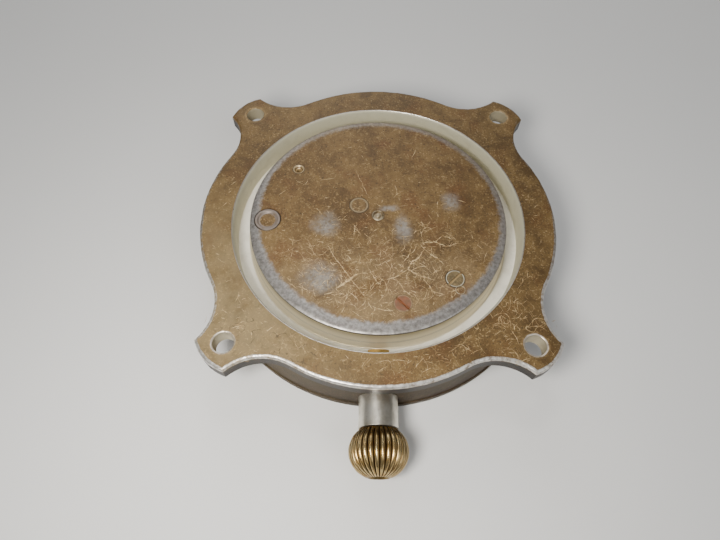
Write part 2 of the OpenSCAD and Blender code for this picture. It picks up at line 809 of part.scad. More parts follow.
mounting_flange();
case_body();
case_back();
bezel();
crystal();
crystal_gasket();
index_ring();
dial_seat();
stem_housing();
pendant_tube();
vent_bush();
access_plug();
locating_rivet();
fixing_screw();
calibration_screw();
base_plate();
capsule_stud();
capsule_back_shell();
capsule_front_shell();
spring_stand();
spring_clamp();
clamp_screws();
rocker_brackets();
movement_pillars();
arbor_plate();
upper_cock();
cock_screws();
hairspring();
hairspring_stud();
capsule_post();
knife_pin();
main_spring();
lever_arm();
lever_link();
rocking_shaft();
short_arm();
long_arm();
sector_arbor();
toothed_sector();
pointer_arbor();
arbor_pinion();
hairspring_collet();
pointer();
pointer_boss();
dial_plate();
dial_gear();
crown();
crown_cap();
setting_stem();
stem_pinion();
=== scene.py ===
"""An antique aneroid altimeter lying face down, with its sealed back, eared flange and crown."""
import json
import math
import random

import bmesh
import bpy
from mathutils import Matrix, Vector, noise


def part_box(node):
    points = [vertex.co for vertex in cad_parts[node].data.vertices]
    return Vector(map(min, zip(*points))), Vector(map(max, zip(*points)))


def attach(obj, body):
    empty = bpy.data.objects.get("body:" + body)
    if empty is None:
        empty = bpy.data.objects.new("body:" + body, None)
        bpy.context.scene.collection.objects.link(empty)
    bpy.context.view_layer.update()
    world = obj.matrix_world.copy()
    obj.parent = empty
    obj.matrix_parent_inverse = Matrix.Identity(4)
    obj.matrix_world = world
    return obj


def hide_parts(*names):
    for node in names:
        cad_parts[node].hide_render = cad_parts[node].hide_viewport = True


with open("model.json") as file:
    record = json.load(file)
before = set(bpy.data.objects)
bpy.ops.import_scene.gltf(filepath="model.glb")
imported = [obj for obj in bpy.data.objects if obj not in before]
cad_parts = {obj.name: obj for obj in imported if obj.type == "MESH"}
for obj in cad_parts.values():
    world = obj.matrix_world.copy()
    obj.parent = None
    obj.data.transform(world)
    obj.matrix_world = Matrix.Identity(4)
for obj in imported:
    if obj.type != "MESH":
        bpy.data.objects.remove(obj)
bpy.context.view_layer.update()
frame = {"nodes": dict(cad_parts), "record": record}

SEED = 7
noise.seed_set(SEED)                         # or noise_vector would follow the clock

# ---------------------------------------------------------------- sizes, from the frame

MM = 0.001
FLOOR_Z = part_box("bezel")[0].z
DRUM_FOOT = 1                                # how far the drum's foot stands past its rolled edge
DRUM_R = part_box("case_back")[1].x / MM - DRUM_FOOT
NECK_Z = -1.15                               # where the undercut below the rolled edge ends
GROOVE_R = 33.35                             # outer wall of the groove at the back face
GROOVE_FOOT_R = 33.0                         # and where it meets the floor
FLANGE_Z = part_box("mounting_flange")[0].z / MM
HOLES = next(m for m in frame["record"]["mounts"] if m["name"] == "panel_bolts")
HOLE_SPACING = HOLES["dims"]["spacing_x_mm"]
HOLE_R = HOLES["dims"]["hole_r_mm"]
STEM_Z = (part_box("setting_stem")[0].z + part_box("setting_stem")[1].z) / 2
CROWN_LOW, CROWN_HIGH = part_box("crown")
CROWN_R = (CROWN_HIGH.x - CROWN_LOW.x) / 2
RIBS = 30                                    # round the crown
RIB_DEPTH = 0.105                            # share of the crown's radius
RIB_ROUNDNESS = 0.62                         # smaller makes a broader crest
CROWN_NECK = math.radians(36)                # where the ball is cut off by the tube
CROWN_POLE = math.radians(161)               # and by its hollowed end
DIAL_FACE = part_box("dial_plate")[0].z
DIAL_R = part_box("dial_plate")[1].x

EDGE_ROUND = 0.6                             # worn corner round the flange's outline

# Light and view
VIEW_TARGET = Vector((-4.06, -14.5, 0)) * MM
VIEW_ELEVATION = math.radians(60.6)
VIEW_DISTANCE = 114.5 * MM
VIEW_ROLL = math.radians(0.8)
LENS = 26.45


def rgb(red, green, blue):
    """A linear colour from the eight-bit values of a colour chart."""
    def linear(v):
        v = v / 255
        return v / 12.92 if v <= 0.04045 else ((v + 0.055) / 1.055) ** 2.4
    return (linear(red), linear(green), linear(blue), 1)


# ---------------------------------------------------------------- materials

class Paint:
    """A material's node graph. Places are in millimetres of the row frame."""

    def __init__(self, name):
        self.material = bpy.data.materials.new(name)
        self.material.use_nodes = True
        tree = self.material.node_tree
        self.nodes = tree.nodes
        self.links = tree.links
        self.bsdf = self.nodes["Principled BSDF"]
        where = self.nodes.new("ShaderNodeTexCoord").outputs["Object"]
        self.place = self.vector("SCALE", where, scale=1 / MM)
        split = self.nodes.new("ShaderNodeSeparateXYZ")
        self.links.new(self.place, split.inputs[0])
        self.x, self.y, self.z = split.outputs
        flat = self.nodes.new("ShaderNodeCombineXYZ")
        self.links.new(self.x, flat.inputs[0])
        self.links.new(self.y, flat.inputs[1])
        self.radius = self.vector("LENGTH", flat.outputs[0])
        face = self.nodes.new("ShaderNodeSeparateXYZ")
        self.links.new(self.nodes.new("ShaderNodeNewGeometry").outputs["True Normal"], face.inputs[0])
        self.up = face.outputs[2]

    def put(self, value, socket):
        """Sets a socket to a number or colour, or links it."""
        if isinstance(value, bpy.types.NodeSocket):
            self.links.new(value, socket)
        else:
            socket.default_value = value

    def math(self, operation, a, b=0.0):
        node = self.nodes.new("ShaderNodeMath")
        node.operation = operation
        for socket, value in zip(node.inputs, (a, b)):
            self.put(value, socket)
        return node.outputs[0]

    def vector(self, operation, a, b=None, scale=None):
        node = self.nodes.new("ShaderNodeVectorMath")
        node.operation = operation
        self.put(a, node.inputs[0])
        if b is not None:
            self.put(b, node.inputs[1])
        if scale is not None:
            self.put(scale, node.inputs["Scale"])
        return node.outputs["Value" if operation in ("LENGTH", "DOT_PRODUCT") else 0]

    def noise(self, size, detail=3.0, rough=0.5, at=None, seed=0.0, distortion=0.0):
        """Noise whose features are about size millimetres across, from 0 to 1."""
        node = self.nodes.new("ShaderNodeTexNoise")
        node.noise_dimensions = "4D"
        self.put(at if at is not None else self.place, node.inputs["Vector"])
        node.inputs["W"].default_value = seed
        node.inputs["Scale"].default_value = 1 / size
        node.inputs["Detail"].default_value = detail
        node.inputs["Roughness"].default_value = rough
        node.inputs["Distortion"].default_value = distortion
        return node.outputs[0]

    def wander(self, amount, size, seed=0.0, at=None):
        """The place, pushed about by up to amount millimetres."""
        node = self.nodes.new("ShaderNodeTexNoise")
        node.noise_dimensions = "4D"
        self.put(at if at is not None else self.place, node.inputs["Vector"])
        node.inputs["W"].default_value = seed
        node.inputs["Scale"].default_value = 1 / size
        node.inputs["Detail"].default_value = 3
        push = self.vector("SUBTRACT", node.outputs[1], (0.5, 0.5, 0.5))
        push = self.vector("SCALE", push, scale=2 * amount)
        return self.vector("ADD", at if at is not None else self.place, push)

    def step(self, value, low, high, start=0.0, end=1.0):
        """Rises smoothly from start to end as value goes from low to high."""
        node = self.nodes.new("ShaderNodeMapRange")
        node.interpolation_type = "SMOOTHSTEP"
        for socket, number in zip(node.inputs, (value, low, high, start, end)):
            self.put(number, socket)
        return node.outputs[0]

    def both(self, a, b):
        return self.math("MULTIPLY", a, b)

    def either(self, *masks):
        """The strongest of several masks."""
        total = masks[0]
        for mask in masks[1:]:
            total = self.math("MAXIMUM", total, mask)
        return total

    def mix(self, amount, a, b):
        """A colour between a and b."""
        node = self.nodes.new("ShaderNodeMix")
        node.data_type = "RGBA"
        self.put(amount, node.inputs[0])
        self.put(a, node.inputs[6])
        self.put(b, node.inputs[7])
        return node.outputs[2]

    def between(self, amount, a, b):
        """A number between a and b."""
        node = self.nodes.new("ShaderNodeMix")
        node.data_type = "FLOAT"
        self.put(amount, node.inputs[0])
        self.put(a, node.inputs[2])
        self.put(b, node.inputs[3])
        return node.outputs[0]

    def spot(self, x, y, size, soft=0.5, stretch=(1, 1), seed=0.0, ragged=1.0):
        """A ragged round patch on the flat back, fading over the soft part of its radius."""
        at = self.wander(ragged, 1.6 * size / 2, seed)
        off = self.vector("SUBTRACT", at, (x, y, 0))
        off = self.vector("MULTIPLY", off, (1 / stretch[0], 1 / stretch[1], 0))
        return self.step(self.vector("LENGTH", off), size * (1 - soft), size, 1, 0)

    def streaks(self, angle, length, width, amount, seed):
        """Straight scratches in one direction, as a mask."""
        turn = self.nodes.new("ShaderNodeMapping")
        turn.vector_type = "TEXTURE"
        bent = self.wander(0.5, 7, seed + 9)
        self.links.new(bent, turn.inputs["Vector"])
        turn.inputs["Rotation"].default_value = (0, 0, math.radians(angle))
        turn.inputs["Scale"].default_value = (length, width, width * 60)
        fine = self.noise(1, 1.5, 0.5, turn.outputs[0], seed)
        return self.step(fine, 0.78 - amount, 0.80 - amount)

    def hairs(self, size, width, seed):
        """Long curling hairlines: the level lines of a smooth noise."""
        wave = self.noise(size, 1.2, 0.4, self.wander(size * 0.12, size * 0.5, seed + 3), seed)
        off = self.math("ABSOLUTE", self.math("SUBTRACT", wave, 0.5))
        return self.step(off, width * 0.4, width, 1, 0)

    def ring(self, centre, radius, width, soft=0.06):
        """A narrow ring round a point on the back."""
        away = self.distance(centre)
        off = self.math("ABSOLUTE", self.math("SUBTRACT", away, radius))
        return self.step(off, width / 2 + soft, width / 2)

    def distance(self, centre):
        """Distance from an upright axis through a point on the back."""
        off = self.vector("SUBTRACT", self.place, (centre[0], centre[1], 0))
        return self.vector("LENGTH", self.vector("MULTIPLY", off, (1, 1, 0)))

    def turning(self):
        """Places that change only with the radius and height, for lathe marks."""
        join = self.nodes.new("ShaderNodeCombineXYZ")
        self.links.new(self.radius, join.inputs[0])
        self.links.new(self.z, join.inputs[1])
        self.links.new(self.both(self.x, 0.02), join.inputs[2])
        return join.outputs[0]

    def attribute(self, name):
        """A number stored at the mesh's vertices."""
        node = self.nodes.new("ShaderNodeAttribute")
        node.attribute_name = name
        return node.outputs["Fac"]

    def finish(self, colour, metallic, rough, height=None, depth=0.02, edge=0.12):
        """Links the surface. height is in units of depth millimetres; edge softens corners."""
        self.put(colour, self.bsdf.inputs["Base Color"])
        self.put(metallic, self.bsdf.inputs["Metallic"])
        self.put(rough, self.bsdf.inputs["Roughness"])
        normal = None
        if edge:
            bevel = self.nodes.new("ShaderNodeBevel")
            bevel.samples = 4
            bevel.inputs["Radius"].default_value = edge * MM
            normal = bevel.outputs[0]
        if height is not None:
            bump = self.nodes.new("ShaderNodeBump")
            bump.inputs["Strength"].default_value = 1
            bump.inputs["Distance"].default_value = depth * MM
            self.put(height, bump.inputs["Height"])
            if normal:
                self.links.new(normal, bump.inputs["Normal"])
            normal = bump.outputs[0]
        if normal:
            self.links.new(normal, self.bsdf.inputs["Normal"])
        return self.material


TAN = rgb(192, 164, 116)                     # fresh scratches
CREAM = rgb(242, 238, 225)                   # clean metal in the groove
SATIN = rgb(196, 191, 166)                   # its grey-green outer wall
DIRT_AND_SHADE = rgb(26, 20, 14)                       # dark dirt in pits and seams; also painted shade in the drum's undercut


def brown_skin(paint, seed, light, dark, red):
    """The mottled brown finish: colour, roughness and height."""
    broad = paint.noise(15, 4, 0.55, seed=seed)
    cloud = paint.noise(3.2, 6, 0.66, seed=seed + 1, distortion=0.5)
    grain = paint.noise(0.42, 4, 0.66, seed=seed + 2)
    tone = paint.math("ADD", paint.both(broad, 0.5), paint.both(cloud, 0.5))
    colour = paint.mix(paint.step(tone, 0.33, 0.65), dark, light)
    ruddy = paint.step(paint.noise(7, 3, 0.5, seed=seed + 3), 0.48, 0.7)
    colour = paint.mix(paint.both(ruddy, 0.6), colour, red)
    specks = paint.both(paint.step(grain, 0.53, 0.66), paint.step(cloud, 0.36, 0.62, 0.2, 0.8))
    colour = paint.mix(paint.both(specks, 0.68), colour, TAN)
    pits = paint.step(paint.noise(0.5, 4, 0.66, seed=seed + 4), 0.46, 0.34)
    colour = paint.mix(paint.both(pits, 0.7), colour, DIRT_AND_SHADE)
    rough = paint.between(cloud, 0.34, 0.55)
    rough = paint.math("ADD", rough, paint.both(grain, 0.1))
    height = paint.math("SUBTRACT", paint.both(grain, 0.6), paint.both(pits, 0.8))
    return colour, rough, height


def drum_paint():
    paint = Paint("drum_finish_aged")
    colour, rough, height = brown_skin(paint, 2.0, rgb(124, 98, 58), rgb(80, 58, 28), rgb(96, 60, 28))

    # painted light: the half towards the crown is washed lighter in patches
    painted_light_wash = paint.both(paint.step(paint.y, 0, -22), paint.step(paint.noise(5, 4, 0.6, seed=4.0), 0.3, 0.6))
    colour = paint.mix(paint.both(painted_light_wash, 0.22), colour, rgb(178, 156, 120))

    # fine scratches, crowded in the half towards the crown
    crowd = paint.step(paint.y, 4, -12, 0.12, 1.0)
    crowd = paint.both(crowd, paint.step(paint.noise(6, 3, 0.6, seed=5.0), 0.36, 0.56, 0.35, 1))
    broken = paint.step(paint.noise(2.2, 3, 0.6, seed=6.0), 0.42, 0.54)
    lines = paint.either(
        paint.both(paint.hairs(2.6, 0.006, 12.0), broken),
        paint.streaks(33, 3.0, 0.11, 0.085, 14.0),
        paint.streaks(-58, 4.0, 0.10, 0.09, 15.0),
        paint.streaks(-20, 3.2, 0.10, 0.08, 17.0))
    lines = paint.both(lines, crowd)
    flecks = paint.both(paint.step(paint.noise(0.6, 4, 0.7, seed=8.0), 0.56, 0.68), crowd)
    colour = paint.mix(paint.both(flecks, 0.6), colour, TAN)
    colour = paint.mix(paint.both(lines, 0.85), colour, TAN)

    # bare blue-grey patches rubbed through the finish
    patches = paint.either(
        paint.spot(-11.9, -2.6, 4.6, 0.9, (1.0, 0.9), 20.0, 2.4),
        paint.spot(5.6, -3.6, 3.8, 0.95, (0.75, 1.4), 21.0, 1.2),
        paint.spot(17, 4, 3.4, 0.95, (0.9, 1.1), 22.0, 1.5),
        paint.spot(-12.6, -17, 6.0, 0.9, (1.1, 0.9), 23.0, 3.0),
        paint.spot(2.5, 2.0, 2.6, 0.95, (1.2, 0.6), 24.0, 1.5))
    patches = paint.both(patches, paint.step(paint.noise(0.8, 4, 0.7, seed=25.0), 0.26, 0.62, 0.1, 1))
    colour = paint.mix(paint.both(patches, 0.6), colour, rgb(168, 167, 163))

    # the rolled edge is worn bare, widest towards the crown
    lean = paint.vector("DOT_PRODUCT", paint.vector("NORMALIZE", paint.place), (-0.3, -0.95, 0))
    inner = paint.math("SUBTRACT", DRUM_R - 1.5, paint.both(paint.step(lean, -0.3, 0.9), 1.1))
    tatters = paint.math("SUBTRACT", paint.noise(1.1, 6, 0.72, seed=26.0), 0.5)
    ragged = paint.math("SUBTRACT", paint.math("ADD", paint.radius, paint.both(tatters, 3.0)), inner)
    rim = paint.both(paint.step(ragged, -0.6, 0.6), paint.step(lean, -1.0, 0.3, 0.45, 0.97))
    bare = paint.either(paint.both(patches, 0.5), rim)
    smear = paint.noise(0.9, 5, 0.65, seed=27.0)
    metal = paint.mix(paint.step(smear, 0.3, 0.7), rgb(126, 121, 117), rgb(178, 174, 168))
    colour = paint.mix(rim, colour, metal)

    # the flared wall is clean satin metal with two fine turned lines, with painted shade at its top under the
    # rolled edge and a near-black painted shadow in the undercut
    wall = paint.both(paint.step(paint.z, NECK_Z + 0.35, NECK_Z + 0.2), paint.step(paint.radius, 27.5, 28))
    wall_colour = paint.mix(paint.step(paint.z, NECK_Z - 0.4, NECK_Z - 2.2),
                            rgb(186, 174, 144), rgb(226, 217, 193))
    line_at = paint.math("ABSOLUTE", paint.math("ADD", paint.z, 3.9))
    wall_colour = paint.mix(paint.both(paint.step(line_at, 0.22, 0.12), 0.5), wall_colour, rgb(110, 98, 74))
    wall_colour = paint.mix(paint.both(paint.step(line_at, 0.08, 0.04), 0.8), wall_colour, CREAM)
    colour = paint.mix(wall, colour, wall_colour)
    # painted shade: the undercut below the rolled edge is painted near black
    shade = paint.both(paint.step(paint.z, -0.36, -0.5), paint.step(paint.z, NECK_Z - 0.5, NECK_Z - 0.05))
    colour = paint.mix(paint.both(paint.both(shade, paint.step(paint.radius, 27.5, 28)), 0.93), colour, DIRT_AND_SHADE)

    metallic = paint.between(paint.either(bare, wall), 0.3, 0.75)
    rough = paint.between(bare, rough, paint.between(smear, 0.3, 0.42))
    rough = paint.between(wall, rough, 0.45)
    height = paint.math("SUBTRACT", height, paint.both(lines, 1.2))
    height = paint.math("SUBTRACT", height, paint.both(bare, 0.5))
    return paint.finish(colour, metallic, rough, height, 0.02, 0.08)


def case_paint(name, seed):
    """The same brown finish on the flange, the case and the bezel, bare where it is rubbed."""
    paint = Paint(name)
    colour, rough, height = brown_skin(paint, seed, rgb(122, 97, 57), rgb(74, 54, 26), rgb(94, 61, 28))

    # painted light: a broad lighter wash in patches over the lower left
    painted_light_wash = paint.both(paint.spot(-34, -26, 44, 0.9, (1, 1), seed + 4, 3.0),
                      paint.step(paint.noise(5, 4, 0.6, seed=seed + 8), 0.25, 0.6, 0.35, 1))
    colour = paint.mix(paint.both(painted_light_wash, 0.46), colour, rgb(172, 153, 112))

    # scratches, thickest on the lobe and the ear at the lower right
    crowd = paint.either(paint.spot(27, -27, 17, 0.7, (1, 1), seed + 5, 3.0),
                         paint.both(paint.step(paint.y, -10, -34), 0.35))
    crowd = paint.math("ADD", crowd, 0.08)
    broken = paint.step(paint.noise(2.4, 3, 0.6, seed=seed + 6), 0.44, 0.56)
    lines = paint.either(
        paint.both(paint.hairs(3.2, 0.006, seed + 11), broken),
        paint.streaks(48, 4, 0.13, 0.09, seed + 14),
        paint.streaks(-62, 5, 0.12, 0.09, seed + 15))
    lines = paint.both(lines, crowd)
    colour = paint.mix(paint.both(lines, 0.85), colour, TAN)
    smudge = paint.both(paint.both(paint.hairs(2.6, 0.014, seed + 17), broken),
                        paint.spot(-22, -31, 14, 0.6, (1.3, 0.8), seed + 18, 2.0))
    colour = paint.mix(paint.both(smudge, 0.6), colour, rgb(60, 52, 42))

    # rubbed edges: bright metal with islands of the brown left in it
    rub = paint.attribute("rub")
    islands = paint.noise(0.9, 6, 0.7, seed=seed + 20)
    worn = paint.step(paint.y, 30, -30, 1.34, 1.06)
    uneven = paint.step(paint.noise(8, 3, 0.5, seed=seed + 19), 0.6, 0.35)
    worn = paint.math("ADD", worn, paint.both(uneven, 0.2))
    near = paint.math("SUBTRACT", paint.math("ADD", rub, paint.both(islands, 0.8)), worn)
    rubbed = paint.step(near, 0.0, 0.3)
    metal = paint.mix(paint.step(islands, 0.35, 0.65), rgb(190, 184, 176), rgb(230, 226, 218))
    # painted highlight and shade: the bare metal is brightest on the near, crown side and painted darker
    # towards the far side
    metal = paint.mix(paint.step(paint.y, -22, -6, 0, 0.6), metal, rgb(104, 96, 86))
    from_lip = paint.math("ABSOLUTE", paint.math("SUBTRACT", paint.radius, GROOVE_R + 0.04))
    lip = paint.step(from_lip, 0.14, 0.08)
    rubbed = paint.either(rubbed, paint.both(lip, paint.step(paint.z, -0.3, -0.1)))
    colour = paint.mix(rubbed, colour, metal)
    # painted shade: the case below the flange, outside 36 mm radius, is darkened almost to black-brown as the
    # flange's shadow
    below = paint.step(paint.z, FLANGE_Z + 0.02, FLANGE_Z - 0.05)
    below = paint.both(below, paint.step(paint.radius, 36, 36.5))
    colour = paint.mix(paint.both(below, 0.74), colour, rgb(30, 23, 13))

    # the upright sides are painted dark, a painted reflection of a dark surround on the metal; the groove and
    # the holes are clean
    upright = paint.step(paint.math("ABSOLUTE", paint.up), 0.5, 0.2)
    flank = paint.both(upright, paint.step(paint.z, FLANGE_Z - 0.1, FLANGE_Z + 0.1))
    flank = paint.both(flank, paint.step(paint.radius, GROOVE_R, GROOVE_R + 0.4))
    flank = paint.both(flank, paint.step(rub, 0.85, 0.62))
    flank_tone = paint.noise(1.8, 5, 0.65, seed=seed + 21)
    painted_dark_reflection = paint.mix(paint.step(flank_tone, 0.35, 0.7), rgb(24, 21, 19), rgb(62, 54, 47))
    colour = paint.mix(flank, colour, painted_dark_reflection)
    stain = paint.noise(2.2, 4, 0.6, seed=seed + 22)
    inside = paint.step(paint.radius, GROOVE_R - 0.02, GROOVE_R - 0.06)
    low = paint.step(paint.z, FLANGE_Z - 1.6, FLANGE_Z - 2.0)
    clean = paint.mix(low, SATIN, CREAM)
    clean = paint.mix(paint.both(paint.step(stain, 0.45, 0.8), 0.25), clean, rgb(150, 138, 108))
    folded = paint.vector("ABSOLUTE", paint.place)
    to_hole = paint.vector("SUBTRACT", folded, (HOLE_SPACING / 2, HOLE_SPACING / 2, 0))
    to_hole = paint.vector("LENGTH", paint.vector("MULTIPLY", to_hole, (1, 1, 0)))
    bore = paint.both(paint.step(to_hole, HOLE_R + 0.25, HOLE_R + 0.1), upright)
    halo = paint.both(paint.step(to_hole, HOLE_R + 1.0, HOLE_R), paint.step(islands, 0.35, 0.6))
    colour = paint.mix(paint.both(halo, 0.5), colour, TAN)
    clean_mask = paint.either(inside, bore)
    colour = paint.mix(inside, colour, clean)
    colour = paint.mix(bore, colour, rgb(176, 166, 140))

    metallic = paint.between(rubbed, paint.between(flank, paint.between(clean_mask, 0.3, 0.2), 0.3), 0.8)
    rough = paint.between(rubbed, rough, paint.between(islands, 0.22, 0.36))
    rough = paint.between(flank, rough, paint.between(flank_tone, 0.34, 0.6))
    rough = paint.between(clean_mask, rough, paint.between(stain, 0.42, 0.6))
    rough = paint.between(below, rough, 0.62)
    turned = paint.noise(0.22, 2, 0.5, at=paint.turning())
    height = paint.math("SUBTRACT", height, paint.both(lines, 1.2))
    height = paint.math("ADD", height, paint.both(paint.both(turned, clean_mask), 0.5))
    return paint.finish(colour, metallic, rough, height, 0.02, 0.1)


def plain_metal(name, light, dark, rough, seed, dull=0.12, lathe=True, edge=0.06, depth=0.006):
    """Plain worked metal: faint stains, lathe marks and fine scratches."""
    paint = Paint(name)
    stain = paint.noise(3.5, 5, 0.6, seed=seed)
    fine = paint.noise(0.35, 3, 0.6, seed=seed + 1)
    colour = paint.mix(paint.step(stain, 0.35, 0.7), light, dark)
    scuff = paint.either(paint.streaks(25, 3, 0.07, 0.06, seed + 2),
                         paint.streaks(-50, 3, 0.07, 0.06, seed + 3))
    colour = paint.mix(paint.both(scuff, 0.35), colour, light)
    grime = paint.both(paint.step(paint.noise(1.1, 4, 0.65, seed=seed + 4), 0.6, 0.75), 0.4)
    colour = paint.mix(grime, colour, tuple(0.35 * v for v in dark[:3]) + (1,))
    roughness = paint.math("ADD", rough, paint.both(paint.math("ADD", stain, fine), dull))
    marks = paint.noise(0.12, 2, 0.5, at=paint.turning(), seed=seed + 5) if lathe else fine
    return paint.finish(colour, 1.0, roughness, paint.math("SUBTRACT", marks, scuff), depth, edge)


def red_paint():
    """Worn red lacquer over a screw head, deepest in its slot."""
    paint = Paint("red_lacquer_worn")
    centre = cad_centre("calibration_screw")
    wear = paint.noise(0.7, 5, 0.65, seed=31.0)
    colour = paint.mix(paint.step(wear, 0.36, 0.64), rgb(132, 84, 58), rgb(108, 80, 58))
    colour = paint.mix(paint.step(paint.z, -0.1, -0.4), colour, rgb(134, 80, 46))
    edge = paint.both(paint.ring(centre, 1.85, 0.16, 0.12), paint.step(wear, 0.3, 0.5, 0.5, 1))
    colour = paint.mix(edge, colour, rgb(158, 134, 104))
    rough = paint.between(wear, 0.34, 0.55)
    return paint.finish(colour, paint.between(edge, 0.15, 0.8), rough, wear, 0.02, 0.08)


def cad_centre(node):
    """Middle of a node seen from the back, in millimetres."""
    low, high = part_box(node)
    return ((low.x + high.x) / 2 / MM, (low.y + high.y) / 2 / MM)


def rim_paint(name, node, face, edge_colour, seed, rim_at, rim_w=0.3, metallic=0.3, shine=0.5):
    """A small flush piece with the drum's finish and a bright turned edge."""
    paint = Paint(name)
    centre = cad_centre(node)
    wear = paint.noise(0.9, 5, 0.68, seed=seed)
    dark = tuple(0.55 * v for v in face[:3]) + (1,)
    colour = paint.mix(paint.step(wear, 0.36, 0.62), face, dark)
    specks = paint.step(paint.noise(0.4, 4, 0.65, seed=seed + 1), 0.54, 0.66)
    colour = paint.mix(paint.both(specks, 0.6), colour, TAN)
    ring = paint.both(paint.ring(centre, rim_at, rim_w, rim_w / 3), paint.step(wear, 0.3, 0.52, 0.45, 1))
    colour = paint.mix(ring, colour, edge_colour)
    seam = paint.step(paint.distance(centre), rim_at + rim_w / 2, rim_at + rim_w / 2 + 0.08)
    colour = paint.mix(paint.both(seam, 0.75), colour, DIRT_AND_SHADE)
    slot = paint.step(paint.z, -0.35, -0.45)
    colour = paint.mix(paint.both(slot, 0.7), colour, TAN)
    rough = paint.between(wear, 0.34, 0.52)
    return paint.finish(colour, paint.between(ring, metallic, shine), rough, wear, 0.015, 0.06)


def crown_paint():
    """Gilt brass, bright on the ribs and dark brown in the grooves, partly patina and partly painted shade.
    """
    paint = Paint("crown_gilt_worn")
    deep = paint.attribute("rib_depth")
    stain = paint.noise(1.6, 5, 0.62, seed=41.0)
    gilt = paint.mix(paint.step(stain, 0.3, 0.7), rgb(202, 180, 132), rgb(158, 126, 74))
    # patina and painted shade: the grooves go dark brown with their depth
    colour = paint.mix(paint.step(deep, 0.25, 0.75), gilt, rgb(50, 32, 14))
    rough = paint.between(paint.step(deep, 0.3, 0.9), paint.between(stain, 0.2, 0.32), 0.6)
    fine = paint.noise(0.25, 3, 0.6, seed=42.0)
    return paint.finish(colour, 1.0, rough, fine, 0.006, 0)


def dial_paint():
    """Silvered brass, brushed round and lightly foxed."""
    paint = Paint("dial_silvered")
    ring = paint.noise(0.18, 2, 0.5, at=paint.turning(), seed=51.0)
    fox = paint.noise(5, 5, 0.6, seed=52.0)
    colour = paint.mix(paint.step(fox, 0.35, 0.75), rgb(224, 220, 208), rgb(204, 194, 168))
    spots = paint.step(paint.noise(0.9, 3, 0.6, seed=53.0), 0.68, 0.76)
    colour = paint.mix(paint.both(spots, 0.5), colour, rgb(120, 96, 60))
    return paint.finish(colour, 0.55, paint.between(ring, 0.34, 0.46), ring, 0.006, 0.05)


def ink_paint():
    """Black filling of the engraved divisions."""
    paint = Paint("dial_black")
    wear = paint.noise(0.6, 4, 0.6, seed=55.0)
    colour = paint.mix(wear, rgb(20, 18, 17), rgb(46, 42, 38))
    return paint.finish(colour, 0.0, paint.between(wear, 0.5, 0.7), wear, 0.01, 0)


def black_paint():
    paint = Paint("ring_black")
    wear = paint.noise(1.5, 5, 0.6, seed=61.0)
    colour = paint.mix(paint.step(wear, 0.4, 0.7), rgb(28, 27, 26), rgb(52, 49, 46))
    return paint.finish(colour, 0.0, paint.between(wear, 0.4, 0.62), wear, 0.012, 0.08)


def rubber_paint():
    paint = Paint("gasket_aged")
    wear = paint.noise(0.8, 5, 0.6, seed=63.0)
    colour = paint.mix(wear, rgb(30, 27, 25), rgb(58, 52, 47))
    return paint.finish(colour, 0.0, 0.8, wear, 0.03, 0.08)


def glass_paint():
    """Thin flat glass with a little dust."""
    paint = Paint("crystal_glass")
    dust = paint.step(paint.noise(0.5, 4, 0.7, seed=65.0), 0.62, 0.78)
    paint.bsdf.inputs["Transmission Weight"].default_value = 1
    paint.bsdf.inputs["IOR"].default_value = 1.5
    return paint.finish(rgb(246, 250, 248), 0.0, paint.both(dust, 0.25), dust, 0.002, 0)


def blued_paint():
    paint = Paint("blued_steel_worn")
    wear = paint.noise(2.2, 5, 0.6, seed=67.0)
    colour = paint.mix(paint.step(wear, 0.35, 0.7), rgb(36, 48, 92), rgb(66, 70, 104))
    spots = paint.step(paint.noise(0.5, 4, 0.65, seed=68.0), 0.64, 0.74)
    colour = paint.mix(paint.both(spots, 0.6), colour, rgb(96, 78, 62))
    return paint.finish(colour, 1.0, paint.between(wear, 0.2, 0.36), wear, 0.006, 0.04)


def floor_paint():
    paint = Paint("studio_floor")
    paint.bsdf.inputs["Specular IOR Level"].default_value = 0.3
    tone = paint.noise(60, 3, 0.5, seed=71.0)
    return paint.finish(paint.mix(tone, rgb(226, 225, 222), rgb(232, 231, 228)), 0.0, 0.75, None, 0, 0)


BRASS = (rgb(214, 180, 112), rgb(176, 138, 76))
STEEL = (rgb(196, 196, 198), rgb(140, 140, 144))

SLOT_PAINTS = {
    "case_finish": lambda: case_paint("case_finish_aged", 80.0),
    "drum_finish": drum_paint,
    "nickel": lambda: plain_metal("nickel_tarnished", rgb(232, 228, 217), rgb(190, 183, 166),
                                  0.26, 90.0, 0.08),
    "crown_gilt": crown_paint,
    "steel_screw": lambda: rim_paint("screw_steel", "fixing_screw", rgb(132, 114, 80), rgb(190, 182, 160),
                                     95.0, 1.9, 0.16, 0.4),
    "red_lacquer": red_paint,
    "stud_metal": lambda: plain_metal("stud_bright", rgb(196, 184, 156), rgb(120, 98, 66),
                                      0.3, 100.0, 0.1, False),
    "plug_metal": lambda: rim_paint("plug_aged", "access_plug", rgb(120, 94, 56), rgb(134, 122, 112),
                                    105.0, 2.35, 0.9, 0.3, 0.4),
    "brass": lambda: plain_metal("brass_lacquered", *BRASS, 0.22, 110.0),
    "nickel_silver": lambda: plain_metal("capsule_sheet", rgb(212, 204, 176), rgb(170, 158, 126), 0.3, 115.0),
    "steel": lambda: plain_metal("steel_polished", *STEEL, 0.2, 120.0),
    "blued_steel": blued_paint,
    "crystal": glass_paint,
    "gasket": rubber_paint,
    "black_ring": black_paint,
    "dial_enamel": dial_paint,
}
PAINTS = {slot: make() for slot, make in SLOT_PAINTS.items()}


def paint_object(obj, material):
    """Gives an object one material, keeping its slots in place."""
    if not obj.material_slots:
        obj.data.materials.append(material)
    for place in obj.material_slots:
        place.material = material


